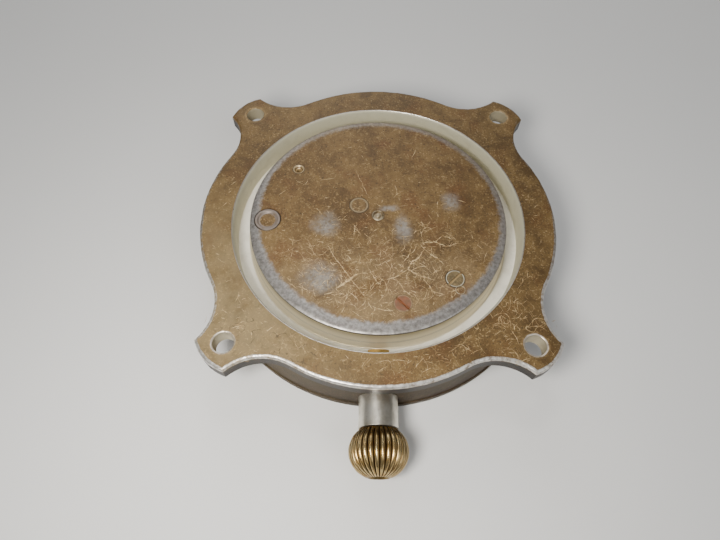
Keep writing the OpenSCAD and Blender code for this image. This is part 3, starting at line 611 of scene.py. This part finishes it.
for part in frame["record"]["subparts"]:
    paint_object(frame["nodes"][part["node"]], PAINTS[part["material_slot"]])
paint_object(frame["nodes"]["locating_rivet"],
             rim_paint("rivet_aged", "locating_rivet", rgb(118, 92, 54), rgb(140, 122, 92), 130.0, 1.95, 0.3))
paint_object(frame["nodes"]["vent_bush"],
             rim_paint("vent_aged", "vent_bush", rgb(96, 72, 42), rgb(176, 154, 116), 135.0, 1.15, 0.3))


# ---------------------------------------------------------------- pieces built here

def new_piece(name, mesh, body, material):
    """An object riding on a body, with a material from one of the record's slots."""
    piece = bpy.data.objects.new(name, mesh)
    bpy.context.scene.collection.objects.link(piece)
    paint_object(piece, material)
    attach(piece, body)
    return piece


def rim_loops(node, height):
    """The closed outlines of a node's flat face at a height, in order, outermost first."""
    shape = bmesh.new()
    shape.from_mesh(frame["nodes"][node].data)
    bmesh.ops.remove_doubles(shape, verts=shape.verts, dist=0.001 * MM)
    flat = {face for face in shape.faces
            if abs(face.normal.z) > 0.99 and abs(face.calc_center_median().z - height) < 0.01 * MM}
    beside = {}
    for edge in shape.edges:
        if sum(face in flat for face in edge.link_faces) == 1:
            for vert in edge.verts:
                beside.setdefault(vert, []).append(edge.other_vert(vert))
    loops = []
    while beside:
        start, (here, _) = beside.popitem()
        loop = [start]
        while here in beside:
            loop.append(here)
            ways = [vert for vert in beside.pop(here) if vert in beside]
            here = ways[0] if ways else start
        loops.append([Vector((vert.co.x, vert.co.y)) for vert in loop])
    shape.free()
    loops.sort(key=lambda loop: -max(point.length for point in loop))
    return [loop if loop_area(loop) > 0 else loop[::-1] for loop in loops]


def loop_area(loop):
    """Area inside a flat loop, positive if it runs anticlockwise."""
    return sum(a.x * b.y - b.x * a.y for a, b in zip(loop, loop[1:] + loop[:1])) / 2


def round_loop(centre, radius, count):
    return [Vector((centre[0] + radius * math.cos(2 * math.pi * i / count),
                    centre[1] + radius * math.sin(2 * math.pi * i / count))) for i in range(count)]


def inset_loop(loop, distance):
    """The loop moved to the left of its direction by a distance, with mitred corners."""
    moved = []
    for before, here, after in zip(loop[-1:] + loop[:-1], loop, loop[1:] + loop[:1]):
        along = (here - before).normalized()
        onward = (after - here).normalized()
        left = Vector((-along.y - onward.y, along.x + onward.x)).normalized()
        share = max(0.5, left.dot(Vector((-along.y, along.x))))
        moved.append(here + left * distance / share)
    return moved


def sweep_rim(shape, loop, profile, rub, dent=0.0):
    """Skins a loop along a profile of [inset, height, wear], and returns its first and last edges."""
    rings = []
    for inset, height, wear in profile:
        ring = []
        for point in inset_loop(loop, inset * MM):
            place = Vector((point.x, point.y, height * MM))
            if dent and wear > 0:
                place += noise.noise_vector(place / MM * 0.55) * dent * wear * MM
                place.z = min(place.z, 0)
            vert = shape.verts.new(place)
            vert[rub] = wear
            ring.append(vert)
        rings.append(ring)
    count = len(loop)
    for low, high in zip(rings, rings[1:]):
        for i in range(count):
            j = (i + 1) % count
            shape.faces.new((low[i], low[j], high[j], high[i]))
    return [[shape.edges.get((ring[i], ring[(i + 1) % count])) for i in range(count)]
            for ring in (rings[0], rings[-1])]


def rounding(radius, steps=6):
    """Profile points of a rounded upper edge, as [inset, height, wear]."""
    turns = [math.pi / 2 * i / steps for i in range(steps + 1)]
    return [(radius * (1 - math.cos(t)), radius * (math.sin(t) - 1), 1.0) for t in turns]


def flange_mesh():
    """The flange with its outer edge worn round and dented, and its holes broken at their edges."""
    outline = rim_loops("mounting_flange", 0)[0]
    shape = bmesh.new()
    rub = shape.verts.layers.float.new("rub")
    depth = FLANGE_Z
    lower_break = 0.25
    edges = []
    outer = [(lower_break, depth, 0.5), (0, depth + lower_break, 0.6), (0, -2.2, 0.0), (0, -1.3, 0.4)]
    edges.append(sweep_rim(shape, outline, outer + rounding(EDGE_ROUND) + [(EDGE_ROUND + 0.55, 0, 0.0)],
                           rub, 0.06))
    for x in (-1, 1):
        for y in (-1, 1):
            hole = round_loop((x * HOLE_SPACING / 2 * MM, y * HOLE_SPACING / 2 * MM), HOLE_R * MM, 72)
            wall = [(0.2, depth, 0), (0, depth + 0.2, 0), (0, -0.4, 0)]
            edges.append(sweep_rim(shape, hole[::-1], wall + rounding(0.3, 3) + [(0.75, 0, 0)], rub))
    groove = round_loop((0, 0), GROOVE_FOOT_R * MM, 360)
    lip = GROOVE_R - GROOVE_FOOT_R
    wall = [(0, depth, 0), (0.05, -0.6, 0), (lip - 0.08, -0.12, 0.4), (lip + 0.04, 0, 1), (lip + 0.3, 0, 0.3),
            (lip + 0.7, 0, 0)]
    edges.append(sweep_rim(shape, groove[::-1], wall, rub))
    for end, up in ((0, -1), (1, 1)):
        rim = [edge for pair in edges for edge in pair[end]]
        bmesh.ops.triangle_fill(shape, use_beauty=True, use_dissolve=False, edges=rim, normal=(0, 0, up))
    bmesh.ops.recalc_face_normals(shape, faces=shape.faces)
    mesh = bpy.data.meshes.new("flange_worn")
    shape.to_mesh(mesh)
    shape.free()
    for face in mesh.polygons:
        face.use_smooth = True
    mesh.set_sharp_from_angle(angle=math.radians(32))
    return mesh


def crown_mesh():
    """The ribbed crown: rounded ribs between narrow grooves, hollowed at its far end."""
    rings = 56
    per_rib = 14
    steps = RIBS * per_rib
    length = CROWN_HIGH.y - CROWN_LOW.y
    stretch = length / (math.cos(CROWN_NECK) - math.cos(CROWN_POLE))
    lift = CROWN_HIGH.y - stretch * math.cos(CROWN_NECK)
    outline = []
    for i in range(rings + 1):
        u = CROWN_NECK + (CROWN_POLE - CROWN_NECK) * i / rings
        outline.append((CROWN_R * math.sin(u) ** 0.92, stretch * math.cos(u) + lift, math.sin(u)))
    hollow_r = outline[-1][0]
    for share, sink in ((0.93, 0.05), (0.84, 0.25), (0.74, 0.65), (0.68, 0.9), (0.3, 0.95), (0.05, 0.95)):
        outline.append((hollow_r * share, outline[rings][1] + sink * MM, 0))
    front_r = outline[0][0]
    outline = [(front_r * 0.5, CROWN_HIGH.y, 0), (front_r * 0.93, CROWN_HIGH.y, 0)] + outline
    mesh = bpy.data.meshes.new("crown_ribbed")
    shape = bmesh.new()
    groove = shape.verts.layers.float.new("rib_depth")
    loops = []
    for radius, y, fullness in outline:
        loop = []
        for s in range(steps):
            phase = (s % per_rib) / per_rib
            crest = abs(math.cos(math.pi * (phase - 0.5))) ** RIB_ROUNDNESS
            dip = RIB_DEPTH * (1 - crest) * min(1, fullness * 2.2)
            angle = 2 * math.pi * s / steps + math.pi / RIBS
            r = radius * (1 - dip)
            vert = shape.verts.new((r * math.cos(angle), y, STEM_Z + r * math.sin(angle)))
            vert[groove] = (1 - crest) ** 0.7 if fullness else 0.5
            loop.append(vert)
        loops.append(loop)
    for a, b in zip(loops, loops[1:]):
        for s in range(steps):
            t = (s + 1) % steps
            face = shape.faces.new((a[s], a[t], b[t], b[s]))
            face.smooth = True
    shape.faces.new(reversed(loops[0]))
    shape.faces.new(loops[-1])
    bmesh.ops.recalc_face_normals(shape, faces=shape.faces)
    shape.to_mesh(mesh)
    shape.free()
    return mesh


crown = new_piece("crown_ribbed", crown_mesh(), "crown", PAINTS["crown_gilt"])
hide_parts("crown")
flange = new_piece("flange_worn", flange_mesh(), "case", PAINTS["case_finish"])
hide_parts("mounting_flange")


def lathe(name, profile, centre, around=96, ruffle=0.0):
    """A turned piece standing on the back, from points [radius, height] in millimetres."""
    mesh = bpy.data.meshes.new(name)
    shape = bmesh.new()
    loops = []
    for radius, height in profile:
        if radius == 0:
            loops.append([shape.verts.new((centre[0] * MM, centre[1] * MM, height * MM))] * around)
            continue
        loop = []
        for i in range(around):
            a = 2 * math.pi * i / around
            place = Vector((centre[0] + radius * math.cos(a), centre[1] + radius * math.sin(a), height))
            place.z += ruffle * noise.noise(place * 0.9) * (height > -0.3)
            loop.append(shape.verts.new(place * MM))
        loops.append(loop)
    for low, high in zip(loops, loops[1:]):
        for i in range(around):
            j = (i + 1) % around
            corners = list(dict.fromkeys((low[i], low[j], high[j], high[i])))
            shape.faces.new(corners).smooth = True
    bmesh.ops.recalc_face_normals(shape, faces=shape.faces)
    shape.to_mesh(mesh)
    shape.free()
    mesh.set_sharp_from_angle(angle=math.radians(50))
    return mesh


def bead(radius, wire, foot=-0.1, steps=8):
    """Profile of a raised ring of a given half width, from its outside inwards."""
    turns = [math.pi * i / steps for i in range(steps + 1)]
    return [(radius + wire * math.cos(t), foot + wire * 0.55 * math.sin(t)) for t in turns]


def build_small_pieces():
    """Turned shapes that stand in for the plain discs let into the back."""
    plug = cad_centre("access_plug")
    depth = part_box("access_plug")[0].z / MM
    profile = [(0, depth), (3.05, depth), (3.05, -0.12)] + bead(2.62, 0.42, -0.16)
    profile += [(2.0, -0.3), (1.4, -0.24), (0, -0.2)]
    piece = new_piece("plug_dished", lathe("plug_dished", profile, plug, 120, 0.05), "case",
                      PAINTS["plug_metal"])
    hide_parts("access_plug")

    stud = (0, 0)
    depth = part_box("capsule_stud")[0].z / MM
    profile = [(0, depth), (0.9, depth), (0.9, -0.6), (1.45, -0.6), (1.45, -0.06)] + bead(1.25, 0.18, -0.06)
    profile += [(0.98, -0.28), (0.62, -0.28), (0.55, -0.06), (0.35, 0), (0, 0)]
    piece = new_piece("stud_domed", lathe("stud_domed", profile, stud), "case",
                      PAINTS["stud_metal"])
    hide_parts("capsule_stud")

    # a small flush pin beside the grey screw, showing as a ring
    screw_x, screw_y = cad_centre("fixing_screw")
    pin = (screw_x + 0.9, screw_y - 2.7)
    profile = [(0, -0.15), (1.1, -0.15)] + bead(1.0, 0.11, -0.04) + [(0.85, -0.07), (0, -0.03)]
    new_piece("lock_pin", lathe("lock_pin", profile, pin, 64), "case", PAINTS["stud_metal"])


build_small_pieces()


# ---- scratches: low ridges of fresh metal, each a closed sliver with tapered ends

RIDGE = 0.012 * MM                           # height of a scratch's burr above the surface
SCRATCH_WAYS = (33, -58, 80, -20, 8)         # headings that most random scratches start near


def scratch_line(shape, points, width, chance):
    """One scratch along a list of flat points, in millimetres."""
    crest = []
    sides = []
    last = len(points) - 1
    for i, point in enumerate(points):
        before = points[max(i - 1, 0)]
        after = points[min(i + 1, last)]
        left = Vector((before.y - after.y, after.x - before.x)).normalized()
        half = width / 2 * math.sin(math.pi * (i + 0.35) / (last + 0.7)) * chance.uniform(0.6, 1.3)
        sides.append([shape.verts.new((*(point + left * side * half) * MM, RIDGE / 8)) for side in (1, -1)])
        crest.append(shape.verts.new((*point * MM, RIDGE)))
    for i in range(last):
        shape.faces.new((sides[i][0], sides[i + 1][0], crest[i + 1], crest[i]))
        shape.faces.new((crest[i], crest[i + 1], sides[i + 1][1], sides[i][1]))
        shape.faces.new((sides[i][1], sides[i + 1][1], sides[i + 1][0], sides[i][0]))
    shape.faces.new((sides[0][0], crest[0], sides[0][1]))
    shape.faces.new((sides[last][1], crest[last], sides[last][0]))


def jittered(corners, chance, pace=0.5, stray=0.08):
    """Points every pace millimetres along a line of corners, each strayed a little."""
    points = []
    for start, end in zip(corners, corners[1:]):
        start = Vector(start)
        end = Vector(end)
        steps = max(1, round((end - start).length / pace))
        points += [start.lerp(end, i / steps) for i in range(steps)]
    points.append(Vector(corners[-1]))
    return [p + Vector((chance.gauss(0, stray), chance.gauss(0, stray))) for p in points]


def wandering(start, heading, length, curl, chance, pace=0.4):
    """Points of a scratch that sets off at a heading and curls at random."""
    points = [Vector(start)]
    turn = chance.gauss(0, curl * 0.5)
    for _ in range(max(2, round(length / pace))):
        turn = 0.7 * turn + chance.gauss(0, curl)
        heading += turn
        points.append(points[-1] + pace * Vector((math.cos(heading), math.sin(heading))))
    return points


def scratch_mesh(name, lines, crowd, allowed, chance):
    """Listed lines, and as many random ones as crowd gives: (count, centre, spread, length, curl)."""
    shape = bmesh.new()
    for corners, width in lines:
        scratch_line(shape, jittered(corners, chance), width, chance)
    for count, centre, spread, length, curl in crowd:
        for _ in range(count):
            start = (chance.gauss(centre[0], spread[0]), chance.gauss(centre[1], spread[1]))
            lean = math.radians(chance.choice(SCRATCH_WAYS) + chance.gauss(0, 14))
            points = wandering(start, lean, length * (0.25 + chance.random() ** 2 * 1.4), curl, chance)
            if all(allowed(point) for point in points):
                scratch_line(shape, points, 0.05 + 0.09 * chance.random() ** 2, chance)
    bmesh.ops.recalc_face_normals(shape, faces=shape.faces)
    mesh = bpy.data.meshes.new(name)
    shape.to_mesh(mesh)
    shape.free()
    return mesh


# The deepest scratches on the drum: a branching nest at the lower right, and a few on their own
DRUM_LINES = [
    ([(9.3, -7.5), (10.1, -9.1), (9.0, -11.1), (7.2, -12.5), (6.3, -14.2), (9.2, -16.0), (12.3, -16.8)], 0.3),
    ([(6.3, -14.2), (3.8, -16.1), (1.4, -16.8)], 0.3),
    ([(9.3, -7.5), (12.4, -7.0), (15.1, -8.3), (17.3, -7.7)], 0.24),
    ([(10.1, -9.1), (12.7, -11.2), (14.3, -13.0)], 0.22),
    ([(7.3, -8.2), (6.5, -11.1), (4.9, -12.8)], 0.22),
    ([(3.8, -16.6), (5.4, -19.3), (7.4, -21.0)], 0.22),
    ([(9.8, -16.7), (11.4, -19.5), (14.2, -20.5)], 0.22),
    ([(12.4, -7.5), (14.4, -5.4), (16.8, -6.5)], 0.2),
    ([(-12.0, -7.0), (-9.1, -12.2), (-5.8, -17.1), (-3.5, -20.2), (-0.6, -23.1)], 0.16),
    ([(-5.5, 13.7), (-2.9, 6.9), (-1.5, 4.4)], 0.08),
    ([(0.8, -19.2), (-1.0, -16.5), (-2.4, -13.7)], 0.11),
    ([(-1.8, -23.1), (1.1, -24.1), (3.4, -24.0)], 0.15),
    ([(-8.9, -18.8), (-6.7, -17.2), (-4.3, -15.1)], 0.55),
]
DRUM_CROWD = [
    (150, (8, -15), (7, 6), 2.8, 0.12),
    (60, (10, -12), (6, 5), 3.8, 0.28),
    (240, (-9, -15), (8, 6), 2.0, 0.09),
    (130, (0, -21), (10, 3), 2.8, 0.12),
    (110, (0, -5), (15, 8), 1.6, 0.09),
    (40, (0, 8), (14, 10), 2.4, 0.07),
]
FLANGE_CROWD = [
    (150, (27, -25), (6, 5), 3.6, 0.19),
    (110, (14, -36), (9, 3), 3.0, 0.16),
    (110, (-18, -34), (10, 4), 1.7, 0.10),
    (60, (38, -6), (3, 12), 2.2, 0.15),
    (110, (-34, -24), (6, 7), 1.5, 0.10),
    (40, (-37, 2), (2, 12), 1.4, 0.09),
]


LET_IN = [(Vector(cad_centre(node)), (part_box(node)[1].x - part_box(node)[0].x) / 2 / MM + 0.15)
          for node in ("access_plug", "fixing_screw", "calibration_screw", "locating_rivet", "vent_bush",
                       "capsule_stud")]


def on_drum(point):
    """True on the drum's flat back, clear of the pieces let into it."""
    clear = all((point - centre).length > room for centre, room in LET_IN)
    return clear and point.length < DRUM_R - 2.9


def on_flange(point):
    """True on the flange's flat back, away from its edges and holes."""
    folded = Vector((abs(point.x), abs(point.y)))
    hole = (folded - Vector((HOLE_SPACING / 2, HOLE_SPACING / 2))).length
    on_lobe = GROOVE_R + 1 < point.length < 38.4
    return hole > HOLE_R + 1 and (on_lobe or (hole < 7.5 and point.length < 46))


def scratch_paint():
    """Fresh metal in a scratch, part filled with brown again."""
    paint = Paint("scratch_metal")
    fill = paint.noise(0.7, 4, 0.65, seed=141.0)
    colour = paint.mix(paint.step(fill, 0.36, 0.62), rgb(228, 202, 154), rgb(156, 126, 82))
    return paint.finish(colour, 0.35, paint.between(fill, 0.34, 0.5), fill, 0.004, 0)


def build_scratches():
    chance = random.Random(SEED)
    paint = scratch_paint()
    drum = scratch_mesh("drum_scratches", DRUM_LINES, DRUM_CROWD, on_drum, chance)
    new_piece("drum_scratches", drum, "case", paint)
    flange_lines = scratch_mesh("flange_scratches", [], FLANGE_CROWD, on_flange, chance)
    new_piece("flange_scratches", flange_lines, "case", paint)


build_scratches()


# ---- the dial's divisions and figures, which face -Z and turn with the dial

def dial_marks():
    """Divisions round the dial: a hundred, every fifth longer, every tenth longest."""
    mesh = bpy.data.meshes.new("dial_marks")
    shape = bmesh.new()
    outer = DIAL_R - 1.6 * MM
    depth = 0.02 * MM
    for i in range(100):
        length = (3.6 if i % 10 == 0 else 2.6 if i % 5 == 0 else 1.6) * MM
        half = (0.26 if i % 10 == 0 else 0.16 if i % 5 == 0 else 0.09) * MM
        a = math.radians(3.6 * i)
        along = Vector((-math.sin(a), math.cos(a), 0))
        across = Vector((math.cos(a), math.sin(a), 0)) * half
        ends = [along * outer, along * (outer - length)]
        bottom = [ends[0] - across, ends[0] + across, ends[1] + across, ends[1] - across]
        faces = []
        for z in (DIAL_FACE + depth, DIAL_FACE - depth):
            faces.append([shape.verts.new((p.x, p.y, z)) for p in bottom])
        shape.faces.new(faces[0])
        shape.faces.new(reversed(faces[1]))
        for k in range(4):
            t = (k + 1) % 4
            shape.faces.new((faces[0][t], faces[0][k], faces[1][k], faces[1][t]))
    bmesh.ops.recalc_face_normals(shape, faces=shape.faces)
    shape.to_mesh(mesh)
    shape.free()
    return mesh


ink = ink_paint()
new_piece("dial_marks", dial_marks(), "dial", ink)


def dial_figure(text, angle, reach, size):
    """A figure upright at the top of the dial and turned with its place round it."""
    curve = bpy.data.curves.new("dial_figure", "FONT")
    curve.body = text
    curve.size = size
    curve.align_x = "CENTER"
    curve.align_y = "CENTER"
    curve.extrude = 0.02 * MM
    figure = bpy.data.objects.new("dial_figure_" + text, curve)
    bpy.context.scene.collection.objects.link(figure)
    a = math.radians(angle)
    figure.location = (-math.sin(a) * reach, math.cos(a) * reach, DIAL_FACE)
    figure.rotation_euler = (Matrix.Rotation(a, 3, "Z") @ Matrix.Rotation(math.pi, 3, "Y")).to_euler()
    curve.materials.append(ink)
    bpy.context.view_layer.update()
    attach(figure, "dial")
    return figure


for count in range(10):
    dial_figure(str(2 * count), 36 * count, DIAL_R - 8.2 * MM, 4.6 * MM)


# ---------------------------------------------------------------- stage, light and camera

def make_floor():
    mesh = bpy.data.meshes.new("floor")
    half = 1.2
    corners = [(x * half, y * half, FLOOR_Z) for x, y in ((-1, -1), (1, -1), (1, 1), (-1, 1))]
    mesh.from_pydata(corners, [], [(0, 1, 2, 3)])
    floor = bpy.data.objects.new("floor", mesh)
    bpy.context.scene.collection.objects.link(floor)
    paint_object(floor, floor_paint())


def area_light(name, place, aim, size, power, colour=(1, 1, 1)):
    light = bpy.data.lights.new(name, "AREA")
    light.shape = "DISK"
    light.size = size
    light.energy = power
    light.color = colour
    lamp = bpy.data.objects.new(name, light)
    bpy.context.scene.collection.objects.link(lamp)
    lamp.location = place
    lamp.rotation_euler = (Vector(aim) - Vector(place)).to_track_quat("-Z", "Y").to_euler()


def make_world():
    world = bpy.data.worlds.new("studio")
    world.use_nodes = True
    world.node_tree.nodes["Background"].inputs["Color"].default_value = (0.95, 0.97, 1.0, 1)
    world.node_tree.nodes["Background"].inputs["Strength"].default_value = 0.22
    bpy.context.scene.world = world


def make_camera():
    data = bpy.data.cameras.new("camera")
    data.sensor_width = 36
    data.lens = LENS
    data.clip_start = 0.005
    camera = bpy.data.objects.new("camera", data)
    bpy.context.scene.collection.objects.link(camera)
    back = Vector((-0.005 * math.cos(VIEW_ELEVATION), -math.cos(VIEW_ELEVATION), math.sin(VIEW_ELEVATION)))
    camera.location = VIEW_TARGET + back * VIEW_DISTANCE
    look = (VIEW_TARGET - camera.location).to_track_quat("-Z", "Y")
    camera.rotation_euler = (look.to_matrix() @ Matrix.Rotation(VIEW_ROLL, 3, "Z")).to_euler()
    bpy.context.scene.camera = camera


make_floor()
make_world()
area_light("key", (-0.042, -0.082, 0.102), (0, -0.01, 0), 0.045, 0.24, (1.0, 0.97, 0.92))
area_light("fill", (0.3, -0.3, 0.4), (0, 0, 0), 0.35, 0.7, (0.96, 0.98, 1.0))
area_light("back", (-0.05, 0.42, 0.3), (0, 0, 0), 0.3, 0.6)
area_light("top", (-0.02, 0.10, 0.30), (0, -0.05, 0), 0.05, 0.09)
make_camera()
